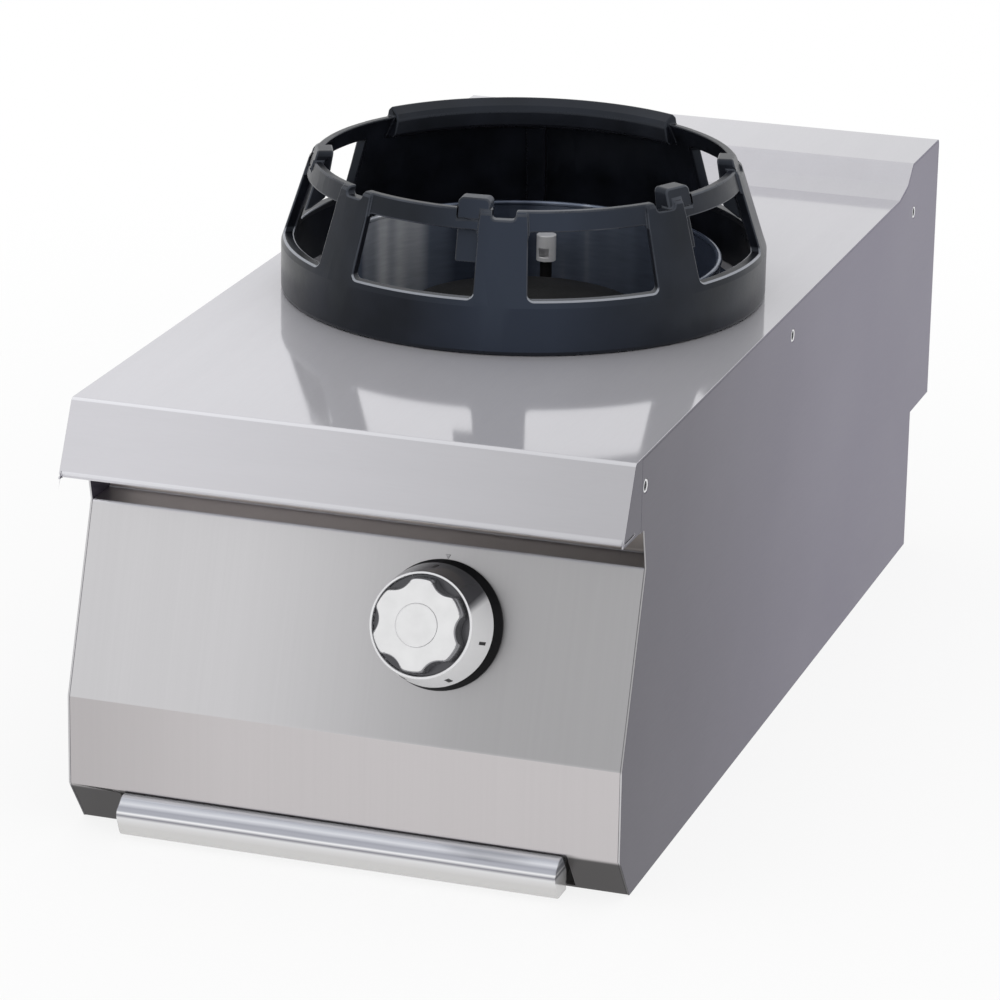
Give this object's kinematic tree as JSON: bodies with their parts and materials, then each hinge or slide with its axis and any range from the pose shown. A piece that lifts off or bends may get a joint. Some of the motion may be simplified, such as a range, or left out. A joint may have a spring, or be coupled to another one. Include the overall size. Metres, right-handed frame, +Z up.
{
  "type": "wok range",
  "caption": "Counter-top gas wok range: folded steel housing with rear upstand, pierced cast ring with raised guard over a sunken burner, lobed control knob and full-width drip tray.",
  "frame": {"origin": "centre of the outer box's footprint, at the plane the housing stands on", "axes": "+Z up, -Y towards the operator, +X to the operator's right"},
  "size_m": [0.4, 0.8916, 0.4165],
  "materials": {
    "collar_black": "matt black",
    "bowl_steel": "bright drawn stainless steel",
    "brass": "turned",
    "knob_chrome": "bright plated",
    "copper_lead": "soft copper",
    "galvanised": "plain zinc coated sheet",
    "burner_iron": "matt cast iron",
    "knob_silver": "silvered gloss plastic",
    "panel_steel": "vertically brushed",
    "pipe_steel": "plain tube",
    "handle_steel": "polished",
    "ring_enamel": "satin black enamel over cast iron",
    "side_steel": "matt brushed",
    "worktop_steel": "fine satin, half bright",
    "screw_zinc": "zinc plated"
  },
  "bodies": {
    "housing": {"worktop": "worktop_steel", "side_panel_right": "side_steel", "side_panel_left": "side_steel", "control_panel": "panel_steel", "back_panel": "galvanised", "base_plate": "galvanised", "support_beam_front": "galvanised", "support_beam_rear": "galvanised", "tray_rail_right": "galvanised", "tray_rail_left": "galvanised", "joining_nuts_right": "screw_zinc", "joining_nuts_left": "screw_zinc", "back_screws": "screw_zinc", "burner_bowl": "bowl_steel", "bowl_base": "bowl_steel", "burner_pot": "burner_iron", "mixing_tube": "burner_iron", "pilot_bracket": "galvanised", "pilot_burner": "knob_chrome", "thermocouple": "pipe_steel", "gas_valve": "brass", "supply_pipe": "pipe_steel", "gas_inlet": "brass", "inlet_nut": "brass", "feed_pipe": "pipe_steel", "injector_holder": "brass", "injector": "brass", "pilot_pipe": "copper_lead", "thermocouple_lead": "copper_lead", "knob_collar": "collar_black"},
    "tap_plug": {"valve_plug": "brass"},
    "knob": {"valve_spindle": "pipe_steel", "knob_dial": "knob_chrome", "knob_handle": "knob_silver"},
    "wok_ring": {"wok_ring": "ring_enamel"},
    "burner_crown": {"burner_crown": "burner_iron"},
    "burner_cap": {"burner_cap": "burner_iron"},
    "drip_tray": {"tray_pan": "panel_steel", "tray_handle": "handle_steel"}
  },
  "joints": [
    {"name": "knob_turn", "type": "hinge", "parent": "housing", "child": "tap_plug", "pos_m": [0.062, -0.38681, 0.1759], "axis": [0, -0.9472, 0.3206], "range_deg": [0, 210]},
    {"name": "knob_push", "type": "slide", "parent": "tap_plug", "child": "knob", "axis": [0, 0.9472, -0.3206], "range_m": [0, 0.004], "stiffness_N_per_m": 2500, "springref_m": -0.003},
    {"name": "wok_ring_lift", "type": "slide", "parent": "housing", "child": "wok_ring", "axis": [0, 0, 1], "range_m": [0, 0.15]},
    {"name": "crown_lift", "type": "slide", "parent": "housing", "child": "burner_crown", "axis": [0, 0, 1], "range_m": [0, 0.12]},
    {"name": "cap_lift", "type": "slide", "parent": "burner_crown", "child": "burner_cap", "axis": [0, 0, 1], "range_m": [0, 0.1]},
    {"name": "tray_slide", "type": "slide", "parent": "housing", "child": "drip_tray", "axis": [0, -1, 0], "range_m": [0, 0.5]}
  ]
}
